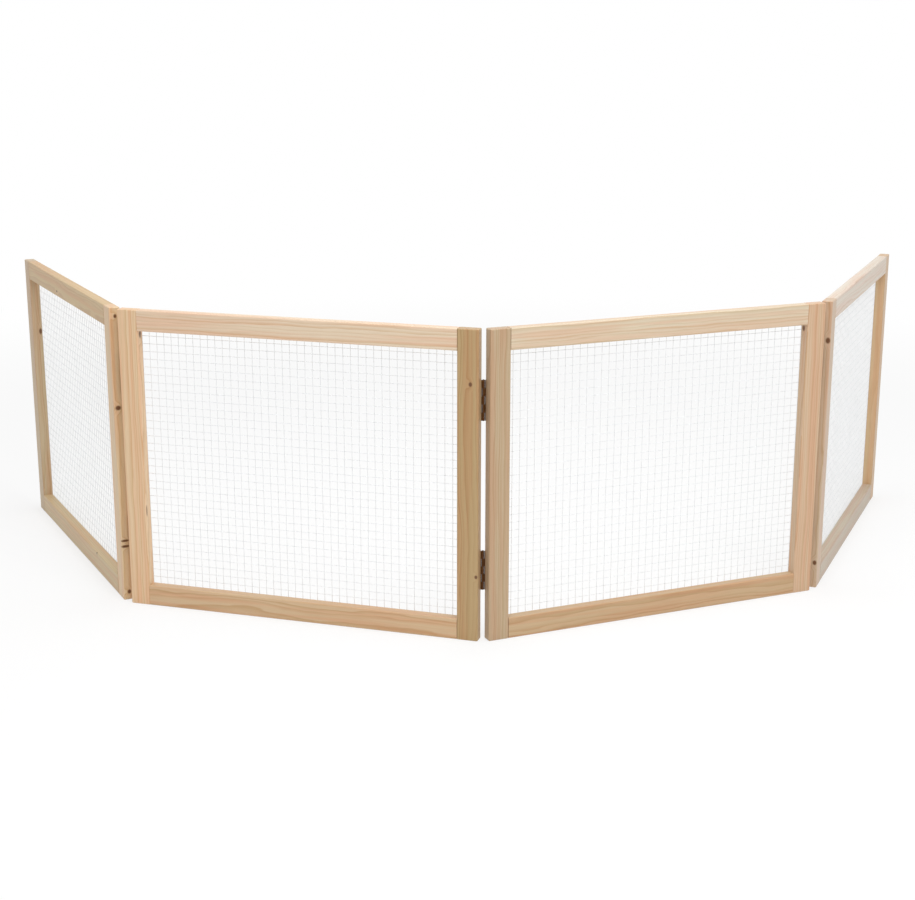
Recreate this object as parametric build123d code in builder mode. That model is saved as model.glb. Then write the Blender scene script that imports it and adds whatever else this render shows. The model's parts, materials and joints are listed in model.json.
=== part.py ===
from build123d import *
from math import ceil, cos, radians, sin, sqrt
import os

# Indoor rabbit run: four framed mesh panels, joined in a row by pairs of butt hinges.
# Panels are numbered 1 to 4 from left to right, seen from the front, which faces -Y.
# The origin is on the floor under the middle of the run as it stands. Sizes are in millimetres.

# Timber frame of each panel
panel_width = 600.0
panel_height = 495.0
timber_width = 34.0
timber_thickness = 18.0
edge_radius = 2.0
end_chamfer = 1.0

# How far each joint is folded as the run stands, where 0 is two panels in line
left_fold = 46.2
middle_fold = 40.3
right_fold = 43.9

# Dowels in the corner joints
dowel_diameter = 6.0
dowel_length = 30.0
dowel_spacing = 16.0
dowel_end_room = 1.0
dowel_chamfer = 0.6

# Welded wire mesh, of which the solid keeps every second upright and every third cross wire
wire_diameter = 0.9
wire_pitch = 12.7
least_mesh_lap = 10.0
pitches_across_gap = 2
pitches_up_gap = 3

# Staples that straddle the outermost wires
staple_crown = 8.0
staple_leg = 10.0
staple_wire_width = 1.2
staple_wire_thickness = 0.6
staple_fit = 0.05
pitches_between_staples = 6

# Butt hinges, set on the back faces of the stiles beside the mesh, with their barrels between them
hinge_length = 63.5
hinge_inset = 80.0
knuckle_diameter = 4.4
knuckle_count = 5
knuckle_gap = 0.25
knuckle_clearance = 0.2
pin_diameter = 2.4
pin_overhang = 0.6
pin_chamfer = 0.3
leaf_thickness = 1.0
leaf_reach = 15.0
leaf_corner_radius = 2.0

# Countersunk hinge screws
screw_diameter = 3.0
screw_length = 12.0
screw_point = 3.0
screw_line = 9.0
screw_edge_distance = 9.0
screws_per_leaf = 3
recess_width = 0.7
recess_length = 3.0
recess_depth = 0.6
screw_end_room = 1.0

# Radial clearance of everything round that sits in a hole
round_fit = 0.05

# Sizes that follow from those above
knuckle_radius = knuckle_diameter / 2
pin_spacing = panel_width + knuckle_diameter
mesh_thickness = 2 * wire_diameter
gap_width = pitches_across_gap * wire_pitch
gap_height = pitches_up_gap * wire_pitch
gaps_across = ceil((panel_width - 2 * timber_width + 2 * least_mesh_lap) / gap_width)
gaps_up = ceil((panel_height - 2 * timber_width + 2 * least_mesh_lap) / gap_height)
mesh_span = gaps_across * gap_width
mesh_rise = gaps_up * gap_height
mesh_left = (panel_width - mesh_span) / 2
mesh_bottom = (panel_height - mesh_rise) / 2
knuckle_pitch = hinge_length / knuckle_count
knuckle_length = knuckle_pitch - knuckle_gap
leaf_back = knuckle_radius - leaf_thickness
notch_depth = sqrt((knuckle_radius + knuckle_clearance) ** 2 - leaf_back**2)
screw_radius = screw_diameter / 2
screw_head_radius = screw_radius + leaf_thickness
screw_spacing = (hinge_length - 2 * screw_edge_distance) / (screws_per_leaf - 1)
hinge_heights = {
    "lower": hinge_inset + hinge_length / 2,
    "upper": panel_height - hinge_inset - hinge_length / 2,
}

# Which way each panel points in plan, in degrees from +X
headings = {
    1: -middle_fold / 2 - left_fold,
    2: -middle_fold / 2,
    3: middle_fold / 2,
    4: middle_fold / 2 + right_fold,
}


def direction(heading):
    """The way along a panel, from its left end to its right end."""
    return Vector(cos(radians(heading)), sin(radians(heading)), 0)


def front(heading):
    """The way out of a panel's front face."""
    return Vector(sin(radians(heading)), -cos(radians(heading)), 0)


def panel_corners():
    """The lower left back corner of each panel, with the middle pin at the origin."""
    left_pin = {
        1: direction(headings[1]) * -pin_spacing + direction(headings[2]) * -pin_spacing,
        2: direction(headings[2]) * -pin_spacing,
        3: Vector(0, 0, 0),
        4: direction(headings[3]) * pin_spacing,
    }
    return {
        number: pin + direction(headings[number]) * knuckle_radius + front(headings[number]) * knuckle_radius
        for number, pin in left_pin.items()
    }


def centre_of_plan(corners):
    """The middle of the box around all four panels, seen from above."""
    reaches = []
    for number, corner in corners.items():
        for along in (edge_radius, panel_width - edge_radius):
            for out in (edge_radius, timber_thickness - edge_radius):
                reaches.append(corner + direction(headings[number]) * along + front(headings[number]) * out)
    middle_x = (min(reach.X for reach in reaches) + max(reach.X for reach in reaches)) / 2
    middle_y = (min(reach.Y for reach in reaches) + max(reach.Y for reach in reaches)) / 2
    return Vector(middle_x, middle_y, 0)


def panel_planes():
    """A plane on the back of each panel: X runs along it, Y up it, and Z out of its front."""
    corners = panel_corners()
    centre = centre_of_plan(corners)
    return {
        number: Plane(
            origin=corner - centre,
            x_dir=direction(headings[number]),
            z_dir=front(headings[number]),
        )
        for number, corner in corners.items()
    }


def edge_plane(panel, along):
    """A plane square to the panel: X runs up it, Y towards its front, and Z along it."""
    return Plane(origin=panel.from_local_coords((along, 0, 0)), x_dir=panel.y_dir, z_dir=panel.x_dir)


def leaf_plane(panel, side, height):
    """A level plane on the pin: X runs towards the stile and Y towards the panel's front.
    The barrel just touches the plane of the panel's back face."""
    if side == "left":
        along_panel = -knuckle_radius
        towards_stile = panel.x_dir
    else:
        along_panel = panel_width + knuckle_radius
        towards_stile = -panel.x_dir
    pin_point = panel.from_local_coords((along_panel, height, -knuckle_radius))
    return Plane(origin=pin_point, x_dir=towards_stile, z_dir=towards_stile.cross(panel.z_dir))


def screw_places(panel, side, height):
    """One location for each screw of a leaf, on its open face with Z pointing out of the wood."""
    level = leaf_plane(panel, side, height)
    offsets = [(index - (screws_per_leaf - 1) / 2) * screw_spacing for index in range(screws_per_leaf)]
    return [
        Plane(
            origin=level.from_local_coords((knuckle_radius + screw_line, leaf_back, offset)),
            x_dir=level.z_dir,
            z_dir=-level.y_dir,
        ).location
        for offset in offsets
    ]


def hinged_sides(number):
    """The sides of a panel that carry hinges: the run's two free ends carry none."""
    sides = []
    if number > min(headings):
        sides.append("left")
    if number < max(headings):
        sides.append("right")
    return sides


def dowel_points():
    """Height and depth of every dowel in one side of a panel."""
    heights = []
    for rail_middle in (timber_width / 2, panel_height - timber_width / 2):
        heights += [rail_middle - dowel_spacing / 2, rail_middle + dowel_spacing / 2]
    return [(height, timber_thickness / 2) for height in heights]


def staple_steps(pitches):
    """Distances from the mesh's edge to the staples along it, each halfway between two wires."""
    count = pitches // pitches_between_staples
    first = (pitches - pitches_between_staples * (count - 1)) // 2
    return [(first + pitches_between_staples * index + 0.5) * wire_pitch for index in range(count)]


def staple_places():
    """Where each staple sits on the back of a panel, turned to straddle the outermost wire there."""
    places = []
    for step in staple_steps(gaps_across * pitches_across_gap):
        for height in (mesh_bottom, mesh_bottom + mesh_rise):
            places.append(Location((mesh_left + step, height, 0), (0, 0, 90)))
    for step in staple_steps(gaps_up * pitches_up_gap):
        for along in (mesh_left, mesh_left + mesh_span):
            places.append(Location((along, mesh_bottom + step, 0)))
    return places


def save(builder, name):
    """Names a finished piece and writes it to its own file."""
    builder.part.label = name
    export_step(builder.part, f"parts/{name}.step")


def make_stile(panel, number, side):
    """Full-height upright with dowel holes, and pilot holes where it carries hinges."""
    outer_edge = 0 if side == "left" else panel_width
    inner_edge = timber_width if side == "left" else panel_width - timber_width
    hole_depth = dowel_length / 2 + dowel_end_room
    with BuildPart() as stile:
        with BuildSketch(panel):
            with Locations(((outer_edge + inner_edge) / 2, panel_height / 2)):
                Rectangle(timber_width, panel_height)
        extrude(amount=timber_thickness)
        fillet(stile.edges().filter_by(Axis.Z), edge_radius)
        for end in (0, -1):
            chamfer(stile.faces().sort_by(Axis.Z)[end].edges(), end_chamfer)
        with BuildSketch(edge_plane(panel, inner_edge)):
            with Locations(*dowel_points()):
                Circle(dowel_diameter / 2 + round_fit)
        extrude(amount=-hole_depth if side == "left" else hole_depth, mode=Mode.SUBTRACT)
        if side in hinged_sides(number):
            for height in hinge_heights.values():
                with Locations(*screw_places(panel, side, height)):
                    Hole(radius=screw_radius + round_fit, depth=screw_length + screw_end_room)
        with Locations(panel):
            add(staple_slots.part, mode=Mode.SUBTRACT)
    save(stile, f"panel_{number}_{side}_stile")


def make_rail(panel, number, level):
    """Rail butted between the two stiles, with dowel holes in both ends."""
    middle_height = timber_width / 2 if level == "bottom" else panel_height - timber_width / 2
    rail_length = panel_width - 2 * timber_width
    hole_depth = dowel_length / 2 + dowel_end_room
    rail_dowels = [point for point in dowel_points() if abs(point[0] - middle_height) < timber_width / 2]
    with BuildPart() as rail:
        with BuildSketch(panel):
            with Locations((panel_width / 2, middle_height)):
                Rectangle(rail_length, timber_width)
        extrude(amount=timber_thickness)
        fillet(rail.edges().filter_by(Axis((0, 0, 0), panel.x_dir)), edge_radius)
        for end, depth in ((timber_width, hole_depth), (panel_width - timber_width, -hole_depth)):
            with BuildSketch(edge_plane(panel, end)):
                with Locations(*rail_dowels):
                    Circle(dowel_diameter / 2 + round_fit)
            extrude(amount=depth, mode=Mode.SUBTRACT)
        with Locations(panel):
            add(staple_slots.part, mode=Mode.SUBTRACT)
    save(rail, f"panel_{number}_{level}_rail")


def place_copy(blank, panel, name):
    """A piece that is the same on every panel, set in its place on one of them."""
    with BuildPart() as copy:
        with Locations(panel):
            add(blank.part, clean=False)
    save(copy, name)


def make_hinge_screws(panel, number):
    """All the screws that hold hinge leaves to one panel."""
    places = []
    for side in hinged_sides(number):
        for height in hinge_heights.values():
            places += screw_places(panel, side, height)
    with BuildPart() as hinge_screws:
        with Locations(*places):
            add(screw.part)
    save(hinge_screws, f"panel_{number}_hinge_screws")


def make_leaf(panel, side, height, own_knuckles, name):
    """Hinge leaf: a plate flat on the back of the stile, curled into knuckles around the pin."""
    level = leaf_plane(panel, side, height)
    bottom = level.offset(-hinge_length / 2)
    plate_width = knuckle_radius + leaf_reach - notch_depth
    with BuildPart() as leaf:
        with BuildSketch(bottom):
            with Locations((notch_depth, leaf_back)):
                Rectangle(plate_width, leaf_thickness, align=(Align.MIN, Align.MIN))
        extrude(amount=hinge_length)
        outer_corners = leaf.edges().filter_by(Axis((0, 0, 0), level.y_dir))
        fillet(outer_corners.sort_by(Axis(level.origin, level.x_dir))[-2:], leaf_corner_radius)
        for index in own_knuckles:
            with BuildSketch(bottom.offset(index * knuckle_pitch + knuckle_gap / 2)):
                Circle(knuckle_radius)
                with Locations((0, leaf_back)):
                    Rectangle(notch_depth, leaf_thickness, align=(Align.MIN, Align.MIN))
            extrude(amount=knuckle_length)
        with BuildSketch(bottom):
            Circle(pin_diameter / 2 + round_fit)
        extrude(amount=hinge_length, mode=Mode.SUBTRACT)
        with Locations(*screw_places(panel, side, height)):
            CounterSinkHole(
                radius=screw_radius + round_fit,
                counter_sink_radius=screw_head_radius + round_fit,
                depth=leaf_thickness,
                counter_sink_angle=90,
            )
    save(leaf, name)


def make_pin(panel, height, name):
    """Hinge pin on the axis at the right-hand end of a panel, with its tips just proud."""
    level = leaf_plane(panel, "right", height)
    with BuildPart() as pin:
        with BuildSketch(level):
            Circle(pin_diameter / 2)
        extrude(amount=hinge_length / 2 + pin_overhang, both=True)
        chamfer(pin.edges().filter_by(GeomType.CIRCLE), pin_chamfer)
    save(pin, name)


os.makedirs("parts", exist_ok=True)
panels = panel_planes()

# Dowels of one panel, two in each corner joint, laid out with the panel's back on the XY plane
with BuildPart() as dowel_set:
    for joint in (timber_width, panel_width - timber_width):
        with BuildSketch(edge_plane(Plane.XY, joint)):
            with Locations(*dowel_points()):
                Circle(dowel_diameter / 2)
        extrude(amount=dowel_length / 2, both=True)
    chamfer(dowel_set.edges().filter_by(GeomType.CIRCLE), dowel_chamfer)

# Mesh of one panel, which lies flat on the back of the frame and laps all four members
with BuildPart() as mesh_sheet:
    with BuildSketch():
        with Locations((panel_width / 2, panel_height / 2)):
            Rectangle(mesh_span + wire_diameter, mesh_rise + wire_diameter)
            with GridLocations(gap_width, gap_height, gaps_across, gaps_up):
                Rectangle(gap_width - wire_diameter, gap_height - wire_diameter, mode=Mode.SUBTRACT)
    extrude(amount=-mesh_thickness)

# Staples of one panel: crowns over the mesh, and legs driven into the timber
leg_offset = (staple_crown - staple_wire_thickness) / 2
with BuildPart() as staple_set:
    with BuildSketch(Plane.XY.offset(-mesh_thickness)):
        with Locations(*staple_places()):
            Rectangle(staple_crown, staple_wire_width)
    extrude(amount=-staple_wire_thickness)
    with BuildSketch(Plane.XY.offset(-mesh_thickness)):
        with Locations(*staple_places()):
            with Locations((-leg_offset, 0), (leg_offset, 0)):
                Rectangle(staple_wire_thickness, staple_wire_width)
    extrude(amount=staple_leg)

# Slots that the staple legs cut in the timber
with BuildPart() as staple_slots:
    with BuildSketch():
        with Locations(*staple_places()):
            with Locations((-leg_offset, 0), (leg_offset, 0)):
                Rectangle(staple_wire_thickness + 2 * staple_fit, staple_wire_width + 2 * staple_fit)
    extrude(amount=staple_leg - mesh_thickness + staple_fit)

# One countersunk cross-head screw, with the top of its head on the XY plane
with BuildPart() as screw:
    with BuildSketch(Plane.XZ):
        with BuildLine():
            Polyline(
                (0, 0),
                (screw_head_radius, 0),
                (screw_radius, -leaf_thickness),
                (screw_radius, screw_point - screw_length),
                (0, -screw_length),
                close=True,
            )
        make_face()
    revolve(axis=Axis.Z)
    with BuildSketch(Plane.XY):
        Rectangle(recess_length, recess_width)
        Rectangle(recess_width, recess_length)
    extrude(amount=-recess_depth, mode=Mode.SUBTRACT)

# The four framed panels
for number, panel in panels.items():
    for side in ("left", "right"):
        make_stile(panel, number, side)
    for level in ("bottom", "top"):
        make_rail(panel, number, level)
    make_hinge_screws(panel, number)
    place_copy(dowel_set, panel, f"panel_{number}_dowels")
    place_copy(mesh_sheet, panel, f"panel_{number}_wire_mesh")
    place_copy(staple_set, panel, f"panel_{number}_staples")

# Two hinges at each of the three joints, with the pin held by the leaf that has more knuckles
outer_knuckles = range(0, knuckle_count, 2)
inner_knuckles = range(1, knuckle_count, 2)
for joint, left_panel, right_panel in (("left", 1, 2), ("middle", 2, 3), ("right", 3, 4)):
    for place, height in hinge_heights.items():
        hinge = f"{joint}_{place}_hinge"
        left_knuckles, right_knuckles = outer_knuckles, inner_knuckles
        if joint == "left":
            left_knuckles, right_knuckles = inner_knuckles, outer_knuckles
        make_leaf(panels[left_panel], "right", height, left_knuckles, f"{hinge}_left_leaf")
        make_leaf(panels[right_panel], "left", height, right_knuckles, f"{hinge}_right_leaf")
        make_pin(panels[left_panel], height, f"{hinge}_pin")

print(f"mesh of {gaps_across} by {gaps_up} gaps in the solid, {mesh_span:.1f} by {mesh_rise:.1f} mm")
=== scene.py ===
"""Looks of a folding indoor rabbit run: four timber-framed wire mesh panels, hinged in a row."""

import json
from collections import namedtuple
from math import radians

import bpy
from bpy.props import FloatProperty, FloatVectorProperty, IntProperty, PointerProperty
from bpy.types import NodeSocket, Operator, Panel, PropertyGroup, Scene
from mathutils import Matrix, Vector


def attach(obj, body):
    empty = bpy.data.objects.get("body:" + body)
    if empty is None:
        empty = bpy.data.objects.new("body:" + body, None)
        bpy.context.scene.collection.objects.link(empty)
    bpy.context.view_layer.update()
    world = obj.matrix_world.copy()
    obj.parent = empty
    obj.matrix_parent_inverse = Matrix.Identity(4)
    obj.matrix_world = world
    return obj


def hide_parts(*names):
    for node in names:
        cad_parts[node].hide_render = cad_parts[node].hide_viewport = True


bl_info = {
    "name": "Indoor rabbit run",
    "version": (1, 0, 0),
    "blender": (4, 5, 0),
    "location": "View3D > Sidebar > Rabbit run",
    "description": "Planed pine, welded mesh, hinges, fixings and a white studio for the packed rabbit run",
    "category": "Object",
}

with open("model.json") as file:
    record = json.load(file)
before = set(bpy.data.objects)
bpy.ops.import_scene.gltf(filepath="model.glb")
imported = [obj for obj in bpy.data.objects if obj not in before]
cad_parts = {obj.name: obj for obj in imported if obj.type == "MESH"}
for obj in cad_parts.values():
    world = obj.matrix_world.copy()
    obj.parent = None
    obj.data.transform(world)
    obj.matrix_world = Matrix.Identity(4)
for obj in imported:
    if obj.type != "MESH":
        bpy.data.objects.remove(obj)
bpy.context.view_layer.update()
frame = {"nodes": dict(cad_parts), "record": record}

MM = 0.001
PANELS = (1, 2, 3, 4)

# A board cut from a log: its tone, where the pith lay beside its centre, across and through it, and
# how wide its rings are, in mm, and its knots
Board = namedtuple("Board", "tone pith ring_width knots")
# A knot: its centre along the panel, forward from the back of the frame and up from the floor, and
# its reach across and along the grain, in mm
Knot = namedtuple("Knot", "along forward up across long")

BOARDS = {
    "panel_1_left_stile": Board("#C5B190", (64, -22), 3.6, (Knot(34, 3.5, 360, 3.0, 6.0),)),
    "panel_1_right_stile": Board(
        "#DFC59F",
        (58, 30),
        4.2,
        (
            Knot(600, 8.5, 480.8, 2.6, 3.4),
            Knot(600, 11.0, 329.7, 5.0, 4.2),
            Knot(600, 11.5, 103.2, 7.2, 2.3),
            Knot(600, 11.5, 93.4, 7.2, 2.5),
            Knot(600, 8.6, 13.7, 3.2, 4.0),
        ),
    ),
    "panel_1_top_rail": Board("#CDB181", (20, 48), 4.4, (Knot(250, 18, 470, 2.0, 5.0),)),
    "panel_1_bottom_rail": Board("#CDB78D", (-40, 30), 4.0, (Knot(431, 18, 32.4, 2.2, 3.0),)),
    "panel_2_left_stile": Board(
        "#E4C7A2",
        (-52, 26),
        4.6,
        (Knot(34, 8, 455, 3.0, 7.0), Knot(34, 14, 162, 1.6, 10.0)),
    ),
    "panel_2_right_stile": Board(
        "#B89C70",
        (44, 34),
        4.8,
        (Knot(587.3, 18, 410.9, 3.0, 3.8), Knot(597.2, 18, 106.0, 2.6, 3.2)),
    ),
    "panel_2_top_rail": Board("#E3CFB5", (-34, -40), 4.2, ()),
    "panel_2_bottom_rail": Board("#D1B48F", (30, 52), 5.0, ()),
    "panel_3_left_stile": Board("#BEA889", (60, -26), 4.4, ()),
    "panel_3_right_stile": Board("#D2B697", (-56, -30), 4.6, (Knot(566, 7.2, 454, 3.6, 5.2),)),
    "panel_3_top_rail": Board("#D9CAB1", (36, -36), 4.4, ()),
    "panel_3_bottom_rail": Board("#C7AB86", (-28, 50), 4.8, ()),
    "panel_4_left_stile": Board(
        "#CAB398",
        (50, 30),
        4.0,
        (Knot(0, 13.6, 429.8, 4.2, 5.5), Knot(0, 13.2, 44.4, 3.6, 4.6)),
    ),
    "panel_4_right_stile": Board("#CDB28C", (-60, 22), 4.2, ()),
    "panel_4_top_rail": Board("#DACFC0", (38, 40), 3.8, ()),
    "panel_4_bottom_rail": Board("#C0B39F", (-42, 34), 4.0, ()),
}


def linear(hex_colour):
    """Turns an sRGB hex colour into Blender's linear red, green and blue."""
    parts = [int(hex_colour[place : place + 2], 16) / 255 for place in (1, 3, 5)]
    return tuple(p / 12.92 if p <= 0.04045 else ((p + 0.055) / 1.055) ** 2.4 for p in parts)


# The panels' places, read from the frame


def mount(name):
    """One of the record's mounts, by name."""
    return next(m for m in frame["record"]["mounts"] if m["name"] == name)


def pin(name):
    """Where a hinge joint's axis meets the floor plane."""
    joints = frame["record"]["behaviour"]["joints"]
    return Vector(next(j for j in joints if j["name"] == name)["pos_m"])


def panel_direction(number):
    """Unit vector along a panel, from its left end to its right end."""
    if number == PANELS[0]:
        return -Vector(mount("left_end_face")["axis"])
    if number == PANELS[-1]:
        return Vector(mount("right_end_face")["axis"])
    left, right = (("left_hinge", "middle_hinge"), ("middle_hinge", "right_hinge"))[number - 2]
    return (pin(right) - pin(left)).normalized()


def node_points(names, turn):
    """The corners of some CAD nodes in axes turned with a panel."""
    back = turn.inverted()
    return [back @ vertex.co for name in names for vertex in frame["nodes"][name].data.vertices]


def panel_place(number):
    """Matrix of a panel's own axes: X along it, Y towards the pen, Z up, from its left end's
    lower back edge."""
    along = panel_direction(number)
    turn = Matrix.Rotation(along.xy.angle_signed(Vector((1, 0))), 4, "Z")
    points = node_points([f"panel_{number}_left_stile"], turn)
    corner = Vector((min(p.x for p in points), max(p.y for p in points), min(p.z for p in points)))
    return turn @ Matrix.Translation(corner)


PLACES = {number: panel_place(number) for number in PANELS}


def box_in_panel(number, name):
    """Lowest and highest corner of a CAD node in its panel's own axes."""
    points = node_points([name], PLACES[number])
    low = Vector([min(p[axis] for p in points) for axis in range(3)])
    high = Vector([max(p[axis] for p in points) for axis in range(3)])
    return low, high


# Settings that a user would change


class RunSizes(PropertyGroup):
    """Sizes of the fine detail, in real units."""

    wire_diameter: FloatProperty(
        name="Wire diameter",
        description="Thickness of the mesh wire",
        default=0.9 * MM,
        precision=5,
        unit="LENGTH",
    )
    wire_pitch: FloatProperty(
        name="Wire pitch",
        description="Distance between neighbouring wires",
        default=12.7 * MM,
        precision=5,
        unit="LENGTH",
    )
    wire_sides: IntProperty(name="Wire sides", description="Faces round each wire", default=6, min=3)
    weld_bury: FloatProperty(
        name="Weld depth",
        description="Share of the wire's diameter that a weld presses into the wire behind",
        default=0.15,
        subtype="FACTOR",
    )
    belly: FloatProperty(
        name="Mesh belly",
        description="How far the mesh wanders out of flat in the middle of a panel",
        default=1.6 * MM,
        precision=5,
        unit="LENGTH",
    )
    fibre_width: FloatProperty(
        name="Fibre width",
        description="Width of the finest wood fibre that is drawn",
        default=0.9 * MM,
        precision=5,
        unit="LENGTH",
    )
    floor_size: FloatProperty(
        name="Floor size",
        description="Side of the square floor",
        default=60.0,
        unit="LENGTH",
    )


class RunColours(PropertyGroup):
    """Colours that the boards share, and the colours of the metal and the floor."""

    late_shade: FloatVectorProperty(
        name="Late wood shade",
        description="What the dark ring bands multiply a board's tone by",
        subtype="COLOR",
        default=linear("#E8D9C2"),
    )
    warm_shade: FloatVectorProperty(
        name="Warm streak shade",
        description="What the pinkish streaks multiply a board's tone by",
        subtype="COLOR",
        default=linear("#FFEEE8"),
    )
    knot_wood: FloatVectorProperty(
        name="Knot wood",
        description="Colour of the knots",
        subtype="COLOR",
        default=linear("#6B4526"),
    )
    beech: FloatVectorProperty(
        name="Beech",
        description="Colour of the dowels",
        subtype="COLOR",
        default=linear("#D3AC7E"),
    )
    galvanising: FloatVectorProperty(
        name="Galvanising",
        description="Colour of the zinc on the mesh wire and the staples",
        subtype="COLOR",
        default=linear("#EBEDEE"),
    )
    zinc_plate: FloatVectorProperty(
        name="Zinc plate",
        description="Colour of the screws",
        subtype="COLOR",
        default=linear("#C6C9CC"),
    )
    bronzed_steel: FloatVectorProperty(
        name="Bronzed steel",
        description="Colour of the hinges",
        subtype="COLOR",
        default=linear("#5E3A16"),
    )
    bronze_wear: FloatVectorProperty(
        name="Worn bronzing",
        description="Colour where the hinges' bronzing is rubbed thin",
        subtype="COLOR",
        default=linear("#8A6234"),
    )
    floor: FloatVectorProperty(
        name="Floor",
        description="Colour of the studio floor",
        subtype="COLOR",
        default=linear("#F4F4F4"),
    )


class RunLight(PropertyGroup):
    """Levels of the studio light."""

    sky: FloatProperty(name="Sky", description="Strength of the light from all round", default=0.6)
    overhead: FloatProperty(
        name="Overhead lamp",
        description="Power of the large lamp above the pen",
        default=31.0,
        subtype="POWER",
    )
    front: FloatProperty(
        name="Front lamp",
        description="Power of the lamp beside the camera",
        default=26.0,
        subtype="POWER",
    )


# Helpers for nodes and materials


def add(tree, kind, inputs=(), **settings):
    """Adds one node with its settings, and links or fills its inputs."""
    node = tree.nodes.new(kind)
    for name, value in settings.items():
        setattr(node, name, value)
    for key, value in dict(inputs).items():
        if isinstance(value, NodeSocket):
            tree.links.new(value, node.inputs[key])
        else:
            node.inputs[key].default_value = value
    return node


def new_material(name):
    """A material with one Principled shader, ready for its own nodes."""
    material = bpy.data.materials.new(name)
    material.use_nodes = True
    material.node_tree.nodes.clear()
    shader = add(material.node_tree, "ShaderNodeBsdfPrincipled")
    add(material.node_tree, "ShaderNodeOutputMaterial", {"Surface": shader.outputs[0]})
    return material, material.node_tree, shader


def dress(name, material):
    """Gives a CAD node its material."""
    for slot in frame["nodes"][name].material_slots:
        slot.material = material


def opaque(colour):
    """A colour property with full alpha."""
    return (*colour, 1.0)


# Planed pine

# The rings' wander and how far apart its turns lie across and along the grain, in mm
WANDER = 16.0
WANDER_ACROSS = 40
WANDER_ALONG = 210
# How far the rings swerve round a knot, in mm
KNOT_SWERVE = 5.0
# Where a knot's colour, and the swerve of the rings round it, start and end to fade, in its own reach
KNOT_EDGE = (0.55, 1.25)
KNOT_REACH = (0.6, 3.6)
# How far apart two boards lie in the noise, so that no two look alike
SEED_STEP = 7.3
# Width and length of the coloured streaks, in mm, and a fibre's length for its width
STREAK_ACROSS = 9
STREAK_ALONG = 260
FIBRE_STRETCH = 45


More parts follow.
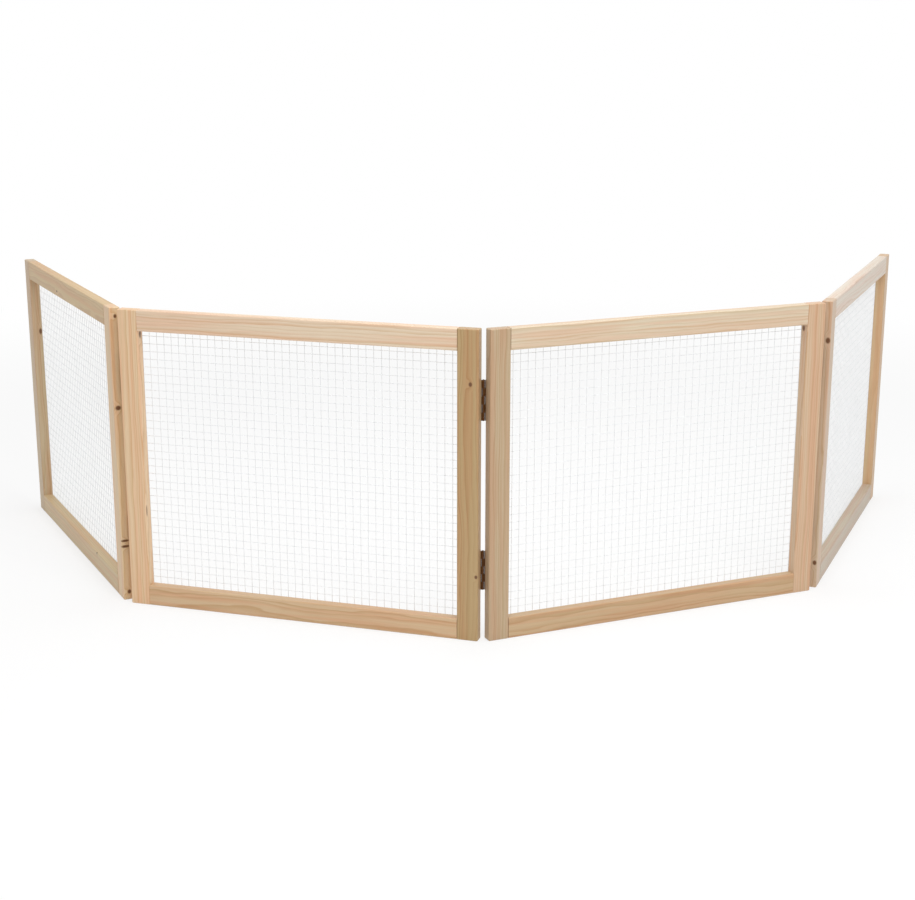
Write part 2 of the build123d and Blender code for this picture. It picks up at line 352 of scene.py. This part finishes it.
def pine_group():
    """Node group for planed pine. It cuts the board out of a log's growth rings, so the bands run
    the length of the board, close to straight on one face and in long tongues on the next."""
    tree = bpy.data.node_groups.new("planed_pine", "ShaderNodeTree")
    sockets = (
        ("Grain", "NodeSocketVector"),
        ("Pith", "NodeSocketVector"),
        ("Ring width", "NodeSocketFloat"),
        ("Seed", "NodeSocketFloat"),
        ("Fibre width", "NodeSocketFloat"),
        ("Early wood", "NodeSocketColor"),
        ("Late shade", "NodeSocketColor"),
        ("Warm shade", "NodeSocketColor"),
        ("Knot wood", "NodeSocketColor"),
        ("Knot", "NodeSocketFloat"),
        ("Knot pull", "NodeSocketFloat"),
    )
    for name, kind in sockets:
        tree.interface.new_socket(name, in_out="INPUT", socket_type=kind)
    for name, kind in (("Colour", "Color"), ("Roughness", "Float"), ("Height", "Float")):
        tree.interface.new_socket(name, in_out="OUTPUT", socket_type=f"NodeSocket{kind}")
    given = tree.nodes.new("NodeGroupInput").outputs
    grain = given["Grain"]
    seed = add(tree, "ShaderNodeCombineXYZ", {0: given["Seed"], 1: given["Seed"], 2: given["Seed"]})

    # The log isn't straight: its rings wander by a few millimetres over a hand's length
    slow = add(
        tree,
        "ShaderNodeVectorMath",
        {0: grain, 1: (1 / WANDER_ACROSS, 1 / WANDER_ACROSS, 1 / WANDER_ALONG)},
        operation="MULTIPLY",
    )
    slow = add(tree, "ShaderNodeVectorMath", {0: slow.outputs[0], 1: seed.outputs[0]}, operation="ADD")
    wander = add(tree, "ShaderNodeTexNoise", {"Vector": slow.outputs[0], "Scale": 1.0, "Detail": 3.0})
    wander = add(
        tree, "ShaderNodeVectorMath", {0: wander.outputs[1], 1: (0.5, 0.5, 0.5)}, operation="SUBTRACT"
    )
    wander = add(
        tree, "ShaderNodeVectorMath", {0: wander.outputs[0], 1: (WANDER, WANDER, 0.0)}, operation="MULTIPLY"
    )
    section = add(tree, "ShaderNodeVectorMath", {0: grain, 1: (1.0, 1.0, 0.0)}, operation="MULTIPLY")
    section = add(
        tree, "ShaderNodeVectorMath", {0: section.outputs[0], 1: wander.outputs[0]}, operation="ADD"
    )
    section = add(
        tree, "ShaderNodeVectorMath", {0: section.outputs[0], 1: given["Pith"]}, operation="SUBTRACT"
    )
    radius = add(tree, "ShaderNodeVectorMath", {0: section.outputs[0]}, operation="LENGTH")
    radius = add(
        tree,
        "ShaderNodeMath",
        {0: given["Knot pull"], 1: KNOT_SWERVE, 2: radius.outputs["Value"]},
        operation="MULTIPLY_ADD",
    )
    rings = add(tree, "ShaderNodeMath", {0: radius.outputs[0], 1: given["Ring width"]}, operation="DIVIDE")
    # Wet and dry years make wide and narrow rings
    years = add(
        tree,
        "ShaderNodeTexNoise",
        {"W": rings.outputs[0], "Scale": 0.4, "Detail": 1.0},
        noise_dimensions="1D",
    )
    rings = add(
        tree, "ShaderNodeMath", {0: years.outputs[0], 1: 2.2, 2: rings.outputs[0]}, operation="MULTIPLY_ADD"
    )
    part = add(tree, "ShaderNodeMath", {0: rings.outputs[0]}, operation="FRACT")
    year = add(tree, "ShaderNodeMath", {0: rings.outputs[0]}, operation="FLOOR")
    band = add(tree, "ShaderNodeValToRGB", {0: part.outputs[0]})
    band.color_ramp.elements[0].color = (0.05, 0.05, 0.05, 1.0)
    band.color_ramp.elements[1].color = (0.05, 0.05, 0.05, 1.0)
    for place, level in ((0.4, 0.12), (0.78, 0.7), (0.9, 1.0)):
        band.color_ramp.elements.new(place).color = (level, level, level, 1.0)
    strength = add(tree, "ShaderNodeTexWhiteNoise", {"W": year.outputs[0]}, noise_dimensions="1D")
    strength = add(tree, "ShaderNodeMapRange", {0: strength.outputs[0], 3: 0.35, 4: 1.0})
    late = add(tree, "ShaderNodeMath", {0: band.outputs[0], 1: strength.outputs[0]}, operation="MULTIPLY")

    dark = add(
        tree,
        "ShaderNodeMix",
        {0: late.outputs[0], 6: given["Early wood"], 7: given["Late shade"]},
        data_type="RGBA",
        blend_type="MULTIPLY",
    )
    # Pinkish and yellowish streaks a finger wide
    broad = add(
        tree,
        "ShaderNodeVectorMath",
        {0: grain, 1: (1 / STREAK_ACROSS, 1 / STREAK_ACROSS, 1 / STREAK_ALONG)},
        operation="MULTIPLY",
    )
    broad = add(
        tree, "ShaderNodeVectorMath", {0: broad.outputs[0], 1: seed.outputs[0]}, operation="SUBTRACT"
    )
    streak = add(tree, "ShaderNodeTexNoise", {"Vector": broad.outputs[0], "Scale": 1.0, "Detail": 2.0})
    streak = add(
        tree,
        "ShaderNodeMapRange",
        {0: streak.outputs[0], 1: 0.38, 2: 0.66},
        interpolation_type="SMOOTHSTEP",
    )
    warm = add(
        tree,
        "ShaderNodeMix",
        {0: streak.outputs[0], 6: dark.outputs[2], 7: given["Warm shade"]},
        data_type="RGBA",
        blend_type="MULTIPLY",
    )
    # Fibres
    across = add(tree, "ShaderNodeMath", {0: 1.0, 1: given["Fibre width"]}, operation="DIVIDE")
    fine = add(
        tree, "ShaderNodeVectorMath", {0: grain, 1: (1.0, 1.0, 1 / FIBRE_STRETCH)}, operation="MULTIPLY"
    )
    fibre = add(
        tree,
        "ShaderNodeTexNoise",
        {"Vector": fine.outputs[0], "Scale": across.outputs[0], "Detail": 2.0},
    )
    tone = add(tree, "ShaderNodeMapRange", {0: fibre.outputs[0], 1: 0.25, 2: 0.75, 3: 0.93, 4: 1.05})
    wood = add(
        tree, "ShaderNodeVectorMath", {0: warm.outputs[2], "Scale": tone.outputs[0]}, operation="SCALE"
    )
    knotted = add(
        tree,
        "ShaderNodeMix",
        {0: given["Knot"], 6: wood.outputs[0], 7: given["Knot wood"]},
        data_type="RGBA",
    )
    matt = add(tree, "ShaderNodeMapRange", {0: late.outputs[0], 3: 0.48, 4: 0.4})
    relief = add(
        tree,
        "ShaderNodeMath",
        {0: fibre.outputs[0], 1: 0.5, 2: late.outputs[0]},
        operation="MULTIPLY_ADD",
    )
    add(
        tree,
        "NodeGroupOutput",
        {"Colour": knotted.outputs[2], "Roughness": matt.outputs[0], "Height": relief.outputs[0]},
    )
    return tree


def board_place(number, name):
    """Matrix of a board's own axes: Z along its grain, Y through it towards the pen."""
    low, high = box_in_panel(number, name)
    place = PLACES[number] @ Matrix.Translation((low + high) / 2)
    if name.endswith("rail"):
        place = place @ Matrix.Rotation(radians(90), 4, "Y")
    return place


def knot_nodes(tree, grain, number, place, knots):
    """How much of each point is knot, and how far the rings bend round it."""
    masks = [0.0, 0.0]
    for knot in knots:
        spot = Vector((knot.along, -knot.forward, knot.up)) * MM
        centre = (place.inverted() @ PLACES[number] @ spot) / MM
        away = add(tree, "ShaderNodeVectorMath", {0: grain, 1: centre}, operation="SUBTRACT")
        size = (1 / knot.across, 1 / knot.across, 1 / knot.long)
        away = add(tree, "ShaderNodeVectorMath", {0: away.outputs[0], 1: size}, operation="MULTIPLY")
        away = add(tree, "ShaderNodeVectorMath", {0: away.outputs[0]}, operation="LENGTH")
        for which, (inner, outer) in enumerate((KNOT_EDGE, KNOT_REACH)):
            mask = add(
                tree,
                "ShaderNodeMapRange",
                {0: away.outputs["Value"], 1: inner, 2: outer, 3: 1.0, 4: 0.0},
                interpolation_type="SMOOTHSTEP",
            )
            masks[which] = add(
                tree, "ShaderNodeMath", {0: mask.outputs[0], 1: masks[which]}, operation="MAXIMUM"
            ).outputs[0]
    return masks


def pine_material(group, number, name, board, sizes, colours, seed):
    """Planed pine or spruce, bare: soft satin from the planer, banded by its rings, knotty."""
    material, tree, shader = new_material(f"planed_pine_{name}")
    place = board_place(number, name)
    where = add(tree, "ShaderNodeTexCoord")
    mapping = add(
        tree,
        "ShaderNodeMapping",
        {"Vector": where.outputs["Object"], "Location": place.translation, "Rotation": place.to_euler()},
        vector_type="TEXTURE",
    )
    grain = add(tree, "ShaderNodeVectorMath", {0: mapping.outputs[0], "Scale": 1 / MM}, operation="SCALE")
    knot, pull = knot_nodes(tree, grain.outputs[0], number, place, board.knots)
    values = {
        "Grain": grain.outputs[0],
        "Pith": (*board.pith, 0.0),
        "Ring width": board.ring_width,
        "Seed": float(seed),
        "Fibre width": sizes.fibre_width / MM,
        "Early wood": opaque(linear(board.tone)),
        "Late shade": opaque(colours.late_shade),
        "Warm shade": opaque(colours.warm_shade),
        "Knot wood": opaque(colours.knot_wood),
        "Knot": knot,
        "Knot pull": pull,
    }
    pine = add(tree, "ShaderNodeGroup", values, node_tree=group)
    tree.links.new(pine.outputs["Colour"], shader.inputs["Base Color"])
    tree.links.new(pine.outputs["Roughness"], shader.inputs["Roughness"])
    # Loose fibres make a face paler where it is seen at a low angle
    shader.inputs["Sheen Weight"].default_value = 0.12
    shader.inputs["Sheen Roughness"].default_value = 0.45
    bump = add(
        tree,
        "ShaderNodeBump",
        {"Strength": 0.5, "Distance": 0.15 * MM, "Height": pine.outputs["Height"]},
    )
    tree.links.new(bump.outputs[0], shader.inputs["Normal"])
    return material


# Beech, zinc and bronzed steel

# Beech's flecks, in metres
FLECK_LENGTH = 6 * MM
FLECK_WIDTH = 0.8 * MM


def beech_material(colours):
    """Turned beech: even and close-grained, with short dark flecks."""
    material, tree, shader = new_material("turned_beech_dowel")
    where = add(tree, "ShaderNodeTexCoord")
    stretched = add(
        tree,
        "ShaderNodeVectorMath",
        {0: where.outputs["Object"], 1: (1 / FLECK_LENGTH, 1 / FLECK_LENGTH, 1 / FLECK_WIDTH)},
        operation="MULTIPLY",
    )
    fleck = add(tree, "ShaderNodeTexNoise", {"Vector": stretched.outputs[0], "Scale": 1.0, "Detail": 2.0})
    shade = add(tree, "ShaderNodeMapRange", {0: fleck.outputs[0], 1: 0.3, 2: 0.7, 3: 0.82, 4: 1.06})
    colour = add(
        tree,
        "ShaderNodeVectorMath",
        {0: tuple(colours.beech), "Scale": shade.outputs[0]},
        operation="SCALE",
    )
    tree.links.new(colour.outputs[0], shader.inputs["Base Color"])
    shader.inputs["Roughness"].default_value = 0.55
    return material


def metal_material(name, colour, patch, mottle, metallic, roughness, worn=None):
    """Coated steel whose coating varies in patches of the given size, in metres. The mottle is how much
    lighter and darker the patches are or, on a worn coat, how much of the worn colour comes through."""
    material, tree, shader = new_material(name)
    where = add(tree, "ShaderNodeTexCoord")
    cloud = add(
        tree,
        "ShaderNodeTexNoise",
        {"Vector": where.outputs["Object"], "Scale": 1 / patch, "Detail": 3.0},
    )
    if worn is None:
        shade = add(
            tree,
            "ShaderNodeMapRange",
            {0: cloud.outputs[0], 1: 0.3, 2: 0.7, 3: 1 - mottle, 4: 1 + mottle},
        )
        coat = add(
            tree,
            "ShaderNodeVectorMath",
            {0: tuple(colour), "Scale": shade.outputs[0]},
            operation="SCALE",
        ).outputs[0]
    else:
        rubbed = add(
            tree, "ShaderNodeMapRange", {0: cloud.outputs[0], 1: 0.52, 2: 0.75, 3: 0.0, 4: mottle}
        )
        coat = add(
            tree,
            "ShaderNodeMix",
            {0: rubbed.outputs[0], 6: opaque(colour), 7: opaque(worn)},
            data_type="RGBA",
        ).outputs[2]
    dull = add(
        tree,
        "ShaderNodeMapRange",
        {0: cloud.outputs[0], 1: 0.3, 2: 0.7, 3: roughness - 0.07, 4: roughness + 0.07},
    )
    pitted = add(
        tree, "ShaderNodeTexNoise", {"Vector": where.outputs["Object"], "Scale": 8 / patch, "Detail": 2.0}
    )
    bump = add(
        tree,
        "ShaderNodeBump",
        {"Strength": 0.25, "Distance": 0.03 * MM, "Height": pitted.outputs[0]},
    )
    tree.links.new(coat, shader.inputs["Base Color"])
    tree.links.new(dull.outputs[0], shader.inputs["Roughness"])
    tree.links.new(bump.outputs[0], shader.inputs["Normal"])
    shader.inputs["Metallic"].default_value = metallic
    return material


# Welded mesh

# How far in from its edge the sheet stays flat, and where it is quite free, in metres
FLAT_TO = 20 * MM
FREE_FROM = 140 * MM
# How far apart its waves lie, in metres
WAVE = 1 / 9


def welded_mesh_tree():
    """Geometry Nodes that lay uprights and cross wires on one pitch, fuse them at every crossing
    with a bead of zinc, and let the sheet wander a little where nothing staples it flat."""
    tree = bpy.data.node_groups.new("welded_mesh", "GeometryNodeTree")
    for name, kind in (
        ("Gaps across", "NodeSocketInt"),
        ("Gaps up", "NodeSocketInt"),
        ("Pitch", "NodeSocketFloat"),
        ("Wire diameter", "NodeSocketFloat"),
        ("Wire sides", "NodeSocketInt"),
        ("Weld depth", "NodeSocketFloat"),
        ("Belly", "NodeSocketFloat"),
        ("Seed", "NodeSocketFloat"),
        ("Material", "NodeSocketMaterial"),
    ):
        tree.interface.new_socket(name, in_out="INPUT", socket_type=kind)
    tree.interface.new_socket("Mesh", in_out="OUTPUT", socket_type="NodeSocketGeometry")
    given = tree.nodes.new("NodeGroupInput").outputs
    pitch, diameter = given["Pitch"], given["Wire diameter"]
    radius = add(tree, "ShaderNodeMath", {0: diameter, 1: 0.5}, operation="MULTIPLY").outputs[0]
    buried = add(tree, "ShaderNodeMath", {0: 1.5, 1: given["Weld depth"]}, operation="SUBTRACT")
    behind = add(tree, "ShaderNodeMath", {0: diameter, 1: buried.outputs[0]}, operation="MULTIPLY")
    width, height = [
        add(tree, "ShaderNodeMath", {0: given[gaps], 1: pitch}, operation="MULTIPLY").outputs[0]
        for gaps in ("Gaps across", "Gaps up")
    ]
    profile = add(
        tree, "GeometryNodeCurvePrimitiveCircle", {"Resolution": given["Wire sides"], "Radius": radius}
    ).outputs[0]
    parts = []
    layers = (
        (given["Gaps across"], given["Gaps up"], radius, "Z"),
        (given["Gaps up"], given["Gaps across"], behind.outputs[0], "X"),
    )
    for wires, spans, depth, run in layers:
        length = height if run == "Z" else width
        start = add(tree, "ShaderNodeCombineXYZ", {"Y": depth})
        end = add(tree, "ShaderNodeCombineXYZ", {"Y": depth, run: length})
        line = add(
            tree, "GeometryNodeCurvePrimitiveLine", {"Start": start.outputs[0], "End": end.outputs[0]}
        )
        count = add(tree, "ShaderNodeMath", {0: spans, 1: 1.0}, operation="ADD")
        line = add(tree, "GeometryNodeResampleCurve", {"Curve": line.outputs[0], "Count": count.outputs[0]})
        wire = add(
            tree,
            "GeometryNodeCurveToMesh",
            {"Curve": line.outputs[0], "Profile Curve": profile, "Fill Caps": True},
        )
        number = add(tree, "ShaderNodeMath", {0: wires, 1: 1.0}, operation="ADD")
        step = add(tree, "ShaderNodeCombineXYZ", {"X" if run == "Z" else "Z": pitch})
        row = add(tree, "GeometryNodeMeshLine", {"Count": number.outputs[0], "Offset": step.outputs[0]})
        laid = {"Points": row.outputs[0], "Instance": wire.outputs[0]}
        parts.append(add(tree, "GeometryNodeInstanceOnPoints", laid))

    # A bead at every crossing, between the two layers
    across = add(tree, "ShaderNodeMath", {0: given["Gaps across"], 1: 1.0}, operation="ADD")
    up = add(tree, "ShaderNodeMath", {0: given["Gaps up"], 1: 1.0}, operation="ADD")
    grid = add(
        tree,
        "GeometryNodeMeshGrid",
        {"Size X": width, "Size Y": height, "Vertices X": across.outputs[0], "Vertices Y": up.outputs[0]},
    )
    half_width, half_height = [
        add(tree, "ShaderNodeMath", {0: size, 1: 0.5}, operation="MULTIPLY").outputs[0]
        for size in (width, height)
    ]
    centre = add(tree, "ShaderNodeCombineXYZ", {"X": half_width, "Y": diameter, "Z": half_height})
    grid = add(
        tree,
        "GeometryNodeTransform",
        {
            "Geometry": grid.outputs[0],
            "Translation": centre.outputs[0],
            "Rotation": (radians(90), 0.0, 0.0),
        },
    )
    bead_radius = add(tree, "ShaderNodeMath", {0: diameter, 1: 0.62}, operation="MULTIPLY")
    bead = add(tree, "GeometryNodeMeshIcoSphere", {"Radius": bead_radius.outputs[0], "Subdivisions": 1})
    beaded = {"Points": grid.outputs[0], "Instance": bead.outputs[0]}
    parts.append(add(tree, "GeometryNodeInstanceOnPoints", beaded))

    joined = add(tree, "GeometryNodeJoinGeometry")
    for part in reversed(parts):
        tree.links.new(part.outputs[0], joined.inputs[0])
    whole = add(tree, "GeometryNodeRealizeInstances", {0: joined.outputs[0]})

    # Flat within a hand's width of the frame, free in the middle
    place = add(tree, "GeometryNodeInputPosition")
    axes = add(tree, "ShaderNodeSeparateXYZ", {0: place.outputs[0]})
    shares = []
    for axis, size in (("X", width), ("Z", height)):
        other = add(tree, "ShaderNodeMath", {0: size, 1: axes.outputs[axis]}, operation="SUBTRACT")
        edge = add(tree, "ShaderNodeMath", {0: axes.outputs[axis], 1: other.outputs[0]}, operation="MINIMUM")
        share = add(
            tree,
            "ShaderNodeMapRange",
            {0: edge.outputs[0], 1: FLAT_TO, 2: FREE_FROM},
            interpolation_type="SMOOTHSTEP",
        )
        shares.append(share.outputs[0])
    free = add(tree, "ShaderNodeMath", {0: shares[0], 1: shares[1]}, operation="MULTIPLY")
    flat = add(
        tree, "ShaderNodeVectorMath", {0: place.outputs[0], 1: (1.0, 0.0, 1.0)}, operation="MULTIPLY"
    )
    wave = add(
        tree,
        "ShaderNodeTexNoise",
        {"Vector": flat.outputs[0], "W": given["Seed"], "Scale": 1 / WAVE, "Detail": 1.0},
        noise_dimensions="4D",
    )
    wave = add(tree, "ShaderNodeVectorMath", {0: wave.outputs[1], 1: (0.5, 0.5, 0.5)}, operation="SUBTRACT")
    wave = add(tree, "ShaderNodeVectorMath", {0: wave.outputs[0], 1: (0.5, 2.0, 0.5)}, operation="MULTIPLY")
    amount = add(tree, "ShaderNodeMath", {0: free.outputs[0], 1: given["Belly"]}, operation="MULTIPLY")
    shift = add(
        tree, "ShaderNodeVectorMath", {0: wave.outputs[0], "Scale": amount.outputs[0]}, operation="SCALE"
    )
    moved = add(tree, "GeometryNodeSetPosition", {"Geometry": whole.outputs[0], "Offset": shift.outputs[0]})
    smooth = add(
        tree, "GeometryNodeSetShadeSmooth", {"Geometry": moved.outputs[0], "Shade Smooth": True}
    )
    painted = add(
        tree,
        "GeometryNodeSetMaterial",
        {"Geometry": smooth.outputs[0], "Material": given["Material"]},
    )
    add(tree, "NodeGroupOutput", {"Mesh": painted.outputs[0]})
    return tree


def socket_identifier(tree, name):
    """The identifier by which a modifier knows one of a tree's inputs."""
    return next(i.identifier for i in tree.interface.items_tree if i.in_out == "INPUT" and i.name == name)


def make_welded_mesh(context, tree, number, sizes, material):
    """One panel's welded mesh, as a plain mesh on its panel."""
    low, high = box_in_panel(number, f"panel_{number}_wire_mesh")
    gaps = [round((high[axis] - low[axis]) / sizes.wire_pitch) for axis in (0, 2)]
    blank = bpy.data.objects.new("mesh_blank", bpy.data.meshes.new("mesh_blank"))
    context.scene.collection.objects.link(blank)
    modifier = blank.modifiers.new("welded_mesh", "NODES")
    modifier.node_group = tree
    for name, value in (
        ("Gaps across", gaps[0]),
        ("Gaps up", gaps[1]),
        ("Pitch", sizes.wire_pitch),
        ("Wire diameter", sizes.wire_diameter),
        ("Wire sides", sizes.wire_sides),
        ("Weld depth", sizes.weld_bury),
        ("Belly", sizes.belly),
        ("Seed", float(number)),
        ("Material", material),
    ):
        modifier[socket_identifier(tree, name)] = value
    evaluated = blank.evaluated_get(context.evaluated_depsgraph_get())
    data = bpy.data.meshes.new_from_object(evaluated)
    blank.modifiers.remove(modifier)
    bpy.data.objects.remove(blank)
    size = Vector((gaps[0], 0, gaps[1])) * sizes.wire_pitch
    middle = (low + high) / 2
    start = Vector((middle.x - size.x / 2, low.y, middle.z - size.z / 2))
    data.transform(PLACES[number] @ Matrix.Translation(start))
    data.name = f"panel_{number}_welded_mesh"
    piece = bpy.data.objects.new(data.name, data)
    context.scene.collection.objects.link(piece)
    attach(piece, f"panel_{number}")
    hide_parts(f"panel_{number}_wire_mesh")


class RABBITRUN_OT_welded_meshes(Operator):
    """Makes the four sheets of half-inch welded mesh"""

    bl_idname = "rabbitrun.welded_meshes"
    bl_label = "Welded meshes"

    def execute(self, context):
        sizes = context.scene.rabbitrun_sizes
        tree = welded_mesh_tree()
        material = bpy.data.materials["galvanised_wire_dipped"]
        for number in PANELS:
            make_welded_mesh(context, tree, number, sizes, material)
        return {"FINISHED"}


class RABBITRUN_OT_timber(Operator):
    """Finishes the sixteen boards in planed pine"""

    bl_idname = "rabbitrun.timber"
    bl_label = "Timber"

    def execute(self, context):
        sizes, colours = context.scene.rabbitrun_sizes, context.scene.rabbitrun_colours
        group = pine_group()
        for seed, (name, board) in enumerate(BOARDS.items()):
            number = int(name.split("_")[1])
            dress(name, pine_material(group, number, name, board, sizes, colours, seed * SEED_STEP))
        return {"FINISHED"}


class RABBITRUN_OT_hinges(Operator):
    """Finishes the leaves and pins of the six butt hinges"""

    bl_idname = "rabbitrun.hinges"
    bl_label = "Hinges"

    def execute(self, context):
        colours = context.scene.rabbitrun_colours
        # Pressed steel under a dark bronze lacquer, rubbed a little lighter in patches
        bronzed = metal_material(
            "bronzed_pressed_steel",
            colours.bronzed_steel,
            patch=5 * MM,
            mottle=0.4,
            metallic=0.6,
            roughness=0.5,
            worn=colours.bronze_wear,
        )
        for name in frame["nodes"]:
            if name.endswith(("_leaf", "_pin")):
                dress(name, bronzed)
        return {"FINISHED"}


class RABBITRUN_OT_fixings(Operator):
    """Finishes the screws, staples and dowels"""

    bl_idname = "rabbitrun.fixings"
    bl_label = "Fixings"

    def execute(self, context):
        colours = context.scene.rabbitrun_colours
        # Bright zinc plate over turned steel: smooth and silvery
        plated = metal_material(
            "zinc_plated_steel",
            colours.zinc_plate,
            patch=2 * MM,
            mottle=0.06,
            metallic=1.0,
            roughness=0.28,
        )
        # Hot-dipped zinc over drawn wire: dull grey, cloudy over a few millimetres
        dipped = metal_material(
            "galvanised_wire_dipped",
            colours.galvanising,
            patch=4 * MM,
            mottle=0.08,
            metallic=0.35,
            roughness=0.5,
        )
        beech = beech_material(colours)
        for number in PANELS:
            dress(f"panel_{number}_hinge_screws", plated)
            dress(f"panel_{number}_staples", dipped)
            dress(f"panel_{number}_dowels", beech)
        return {"FINISHED"}


# Stage

CAMERA_PLACE = Vector((-0.1844, -2.7970, 0.9492))
CAMERA_YAW = radians(3.166)
CAMERA_PITCH = radians(14.828)
CAMERA_ROLL = radians(0.046)
CAMERA_LENS = 64.80
CAMERA_SENSOR = 36.0
OVERHEAD_PLACE = (0.1, -0.3, 2.6)
OVERHEAD_AIM = (0.0, 0.0, 0.2)
OVERHEAD_SIZE = 2.4
FRONT_PLACE = (0.6, -1.9, 2.4)
FRONT_AIM = (0.0, 0.0, 0.3)
FRONT_SIZE = 1.6
# The strength at which a background is plain white
SEEN_WHITE = 1.0
# The floor lies just under the feet of the frames, so that the two don't flicker through each other
FLOOR_DROP = 0.1 * MM
# How much of the floor's own shading shows beside the run, and over what distance that fades out
SHADOW_SHARE = 0.3
FADE_FROM = 1.1
FADE_TO = 3.0


def seen_directly(tree):
    """1 for camera, mirror and glass rays, 0 for light that bounces off matt surfaces."""
    path = add(tree, "ShaderNodeLightPath").outputs
    seen = path["Is Camera Ray"]
    for kind in ("Is Glossy Ray", "Is Transmission Ray"):
        seen = add(tree, "ShaderNodeMath", {0: seen, 1: path[kind]}, operation="MAXIMUM").outputs[0]
    return seen


def make_floor(context, sizes, colours):
    """White sweep: matt where it lights the run, and near white to the eye, with a soft shadow."""
    half = sizes.floor_size / 2
    corners = [(x * half, y * half, -FLOOR_DROP) for x, y in ((-1, -1), (1, -1), (1, 1), (-1, 1))]
    data = bpy.data.meshes.new("studio_floor")
    data.from_pydata(corners, [], [(0, 1, 2, 3)])
    material = bpy.data.materials.new("matt_white_sweep")
    material.use_nodes = True
    tree = material.node_tree
    tree.nodes.clear()
    matt = add(tree, "ShaderNodeBsdfDiffuse", {"Color": opaque(colours.floor)})
    white = add(tree, "ShaderNodeEmission", {"Strength": SEEN_WHITE})
    where = add(tree, "ShaderNodeTexCoord")
    far = add(tree, "ShaderNodeVectorMath", {0: where.outputs["Object"]}, operation="LENGTH")
    lift = add(
        tree,
        "ShaderNodeMapRange",
        {0: far.outputs["Value"], 1: FADE_FROM, 2: FADE_TO, 3: 1 - SHADOW_SHARE, 4: 1.0},
        interpolation_type="SMOOTHSTEP",
    )
    share = add(tree, "ShaderNodeMath", {0: lift.outputs[0], 1: seen_directly(tree)}, operation="MULTIPLY")
    mixed = add(tree, "ShaderNodeMixShader", {0: share.outputs[0], 1: matt.outputs[0], 2: white.outputs[0]})
    add(tree, "ShaderNodeOutputMaterial", {"Surface": mixed.outputs[0]})
    data.materials.append(material)
    floor = bpy.data.objects.new("studio_floor", data)
    context.scene.collection.objects.link(floor)


def make_sky(context, light):
    """Even light from all round, seen as plain white."""
    world = bpy.data.worlds.new("white_studio")
    world.use_nodes = True
    tree = world.node_tree
    tree.nodes.clear()
    level = add(
        tree, "ShaderNodeMapRange", {0: seen_directly(tree), 3: light.sky, 4: SEEN_WHITE}
    )
    sky = add(tree, "ShaderNodeBackground", {"Color": (1.0, 1.0, 1.0, 1.0), "Strength": level.outputs[0]})
    add(tree, "ShaderNodeOutputWorld", {"Surface": sky.outputs[0]})
    context.scene.world = world


def make_lamp(context, name, place, aim, size, power):
    """A soft square lamp, turned towards a point."""
    data = bpy.data.lights.new(name, "AREA")
    data.size = size
    data.energy = power
    lamp = bpy.data.objects.new(name, data)
    lamp.location = place
    lamp.rotation_euler = (Vector(aim) - Vector(place)).to_track_quat("-Z", "Y").to_euler()
    context.scene.collection.objects.link(lamp)


def make_camera(context):
    """The photographer's view: in front of the bow, at chair height, looking a little down."""
    data = bpy.data.cameras.new("view")
    data.sensor_width = CAMERA_SENSOR
    data.sensor_fit = "HORIZONTAL"
    data.lens = CAMERA_LENS
    camera = bpy.data.objects.new("view", data)
    turn = (
        Matrix.Rotation(-CAMERA_YAW, 4, "Z")
        @ Matrix.Rotation(radians(90) - CAMERA_PITCH, 4, "X")
        @ Matrix.Rotation(CAMERA_ROLL, 4, "Z")
    )
    camera.matrix_world = Matrix.Translation(CAMERA_PLACE) @ turn
    context.scene.collection.objects.link(camera)
    context.scene.camera = camera


class RABBITRUN_OT_stage(Operator):
    """Sets the floor, the light, the view and the way that colours are shown"""

    bl_idname = "rabbitrun.stage"
    bl_label = "Stage"

    def execute(self, context):
        scene = context.scene
        make_camera(context)
        make_floor(context, scene.rabbitrun_sizes, scene.rabbitrun_colours)
        light = scene.rabbitrun_light
        make_sky(context, light)
        make_lamp(context, "overhead_lamp", OVERHEAD_PLACE, OVERHEAD_AIM, OVERHEAD_SIZE, light.overhead)
        make_lamp(context, "front_lamp", FRONT_PLACE, FRONT_AIM, FRONT_SIZE, light.front)
        scene.view_settings.view_transform = "Standard"
        return {"FINISHED"}


STEPS = (
    RABBITRUN_OT_stage,
    RABBITRUN_OT_timber,
    RABBITRUN_OT_hinges,
    RABBITRUN_OT_fixings,
    RABBITRUN_OT_welded_meshes,
)
SETTINGS = {"rabbitrun_sizes": RunSizes, "rabbitrun_colours": RunColours, "rabbitrun_light": RunLight}


class RABBITRUN_PT_steps(Panel):
    """Lists the steps and their settings"""

    bl_label = "Rabbit run"
    bl_idname = "RABBITRUN_PT_steps"
    bl_space_type = "VIEW_3D"
    bl_region_type = "UI"
    bl_category = "Rabbit run"

    def draw(self, context):
        for step in STEPS:
            self.layout.operator(step.bl_idname)
        for attribute, group in SETTINGS.items():
            settings = getattr(context.scene, attribute)
            for name in group.__annotations__:
                self.layout.prop(settings, name)


def register():
    """Registers the settings, the steps and the panel."""
    for group in (*SETTINGS.values(), *STEPS, RABBITRUN_PT_steps):
        bpy.utils.register_class(group)
    for attribute, group in SETTINGS.items():
        setattr(Scene, attribute, PointerProperty(type=group))


def unregister():
    """Takes away what register added."""
    for attribute in SETTINGS:
        delattr(Scene, attribute)
    for group in (RABBITRUN_PT_steps, *reversed(STEPS), *SETTINGS.values()):
        bpy.utils.unregister_class(group)


def main():
    register()
    bpy.ops.rabbitrun.stage()
    bpy.ops.rabbitrun.timber()
    bpy.ops.rabbitrun.hinges()
    bpy.ops.rabbitrun.fixings()
    bpy.ops.rabbitrun.welded_meshes()


if __name__ == "__main__":
    main()
